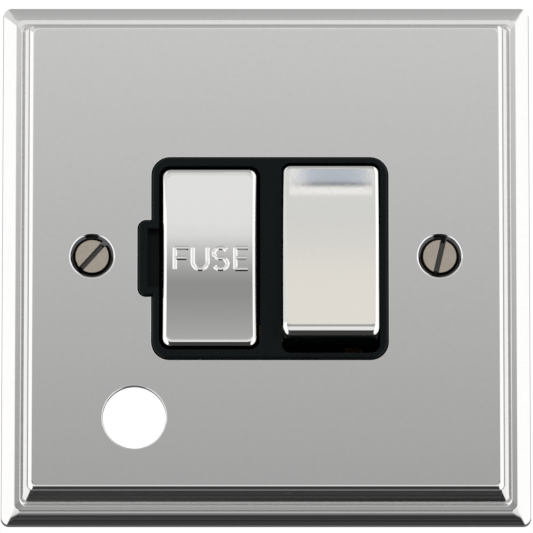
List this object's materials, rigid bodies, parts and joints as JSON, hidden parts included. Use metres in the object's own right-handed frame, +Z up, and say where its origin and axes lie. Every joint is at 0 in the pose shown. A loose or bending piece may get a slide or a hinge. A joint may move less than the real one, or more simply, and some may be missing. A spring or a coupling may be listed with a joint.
{
  "type": "fused spur unit",
  "caption": "Square chrome fused spur unit for a wall box, with a stepped plate, black insert, pull-out fuse carrier, double-pole rocker switch and flex outlet.",
  "frame": {"origin": "on the wall plane, midway between the two fixing screws", "axes": "+Y into the wall, so the plate faces -Y; +X to the right seen from the front; +Z up"},
  "size_m": [0.092, 0.0354, 0.092],
  "materials": {
    "polished_chrome": "mirror-polished chrome plating",
    "black_moulding": "black moulding with a low gloss",
    "rear_moulding": "matt black moulding",
    "white_nylon": "natural nylon",
    "nickel_screws": "nickel plating, lightly turned",
    "zinc_steel": "zinc-plated steel",
    "spring_steel": "drawn spring wire",
    "brass": "plain brass",
    "plated_fuse_cap": "nickel-plated brass",
    "fuse_ceramic": "unglazed pale ceramic"
  },
  "bodies": {
    "frame": {"base_moulding": "rear_moulding", "case_screws": "zinc_steel", "cord_grip_bar": "rear_moulding", "cord_grip_screws": "zinc_steel", "cord_saddle": "rear_moulding", "earth_screw": "zinc_steel", "earth_terminal": "brass", "fixed_contact_live": "brass", "fixed_contact_neutral": "brass", "fixing_screws": "nickel_screws", "front_housing": "black_moulding", "front_plate": "polished_chrome", "fulcrum_live": "brass", "fulcrum_neutral": "brass", "fuse_clip_lower": "brass", "fuse_clip_upper": "brass", "fuse_strap": "brass", "plate_studs": "zinc_steel", "stud_nuts": "zinc_steel", "terminal_load_live": "brass", "terminal_load_neutral": "brass", "terminal_screws": "zinc_steel", "terminal_supply_live": "brass", "terminal_supply_neutral": "brass"},
    "fuse_drawer": {"fuse_cover": "polished_chrome", "fuse_carrier": "black_moulding", "fuse_tube": "fuse_ceramic", "fuse_cap_upper": "plated_fuse_cap", "fuse_cap_lower": "plated_fuse_cap"},
    "rocker": {"rocker_cap": "polished_chrome", "rocker_body": "black_moulding", "spring_live": "spring_steel", "spring_neutral": "spring_steel"},
    "live_plunger": {"plunger_live": "white_nylon"},
    "neutral_plunger": {"plunger_neutral": "white_nylon"},
    "live_arm": {"contact_arm_live": "brass"},
    "neutral_arm": {"contact_arm_neutral": "brass"}
  },
  "joints": [
    {"name": "rocker_pivot", "type": "hinge", "parent": "frame", "child": "rocker", "pos_m": [0.01125, -0.0044, -0.00045], "axis": [1, 0, 0], "range_deg": [0, 14]},
    {"name": "live_arm_pivot", "type": "hinge", "parent": "frame", "child": "live_arm", "pos_m": [0.00705, 0.0052, -0.00045], "axis": [1, 0, 0], "range_deg": [-12, 0]},
    {"name": "neutral_arm_pivot", "type": "hinge", "parent": "frame", "child": "neutral_arm", "pos_m": [0.01545, 0.0052, -0.00045], "axis": [1, 0, 0], "range_deg": [-12, 0]},
    {"name": "live_plunger_slide", "type": "slide", "parent": "rocker", "child": "live_plunger", "axis": [0, -0.9925, 0.1219], "range_m": [0, 0.0008], "stiffness_N_per_m": 400, "deforming": ["spring_live"]},
    {"name": "neutral_plunger_slide", "type": "slide", "parent": "rocker", "child": "neutral_plunger", "axis": [0, -0.9925, 0.1219], "range_m": [0, 0.0008], "stiffness_N_per_m": 400, "deforming": ["spring_neutral"]},
    {"name": "fuse_drawer_slide", "type": "slide", "parent": "frame", "child": "fuse_drawer", "axis": [0, -1, 0], "range_m": [0, 0.024]}
  ],
  "couplings": [
    {"joint": "live_arm_pivot", "follows": "rocker_pivot", "ratio": -0.85714},
    {"joint": "neutral_arm_pivot", "follows": "rocker_pivot", "ratio": -0.85714}
  ]
}
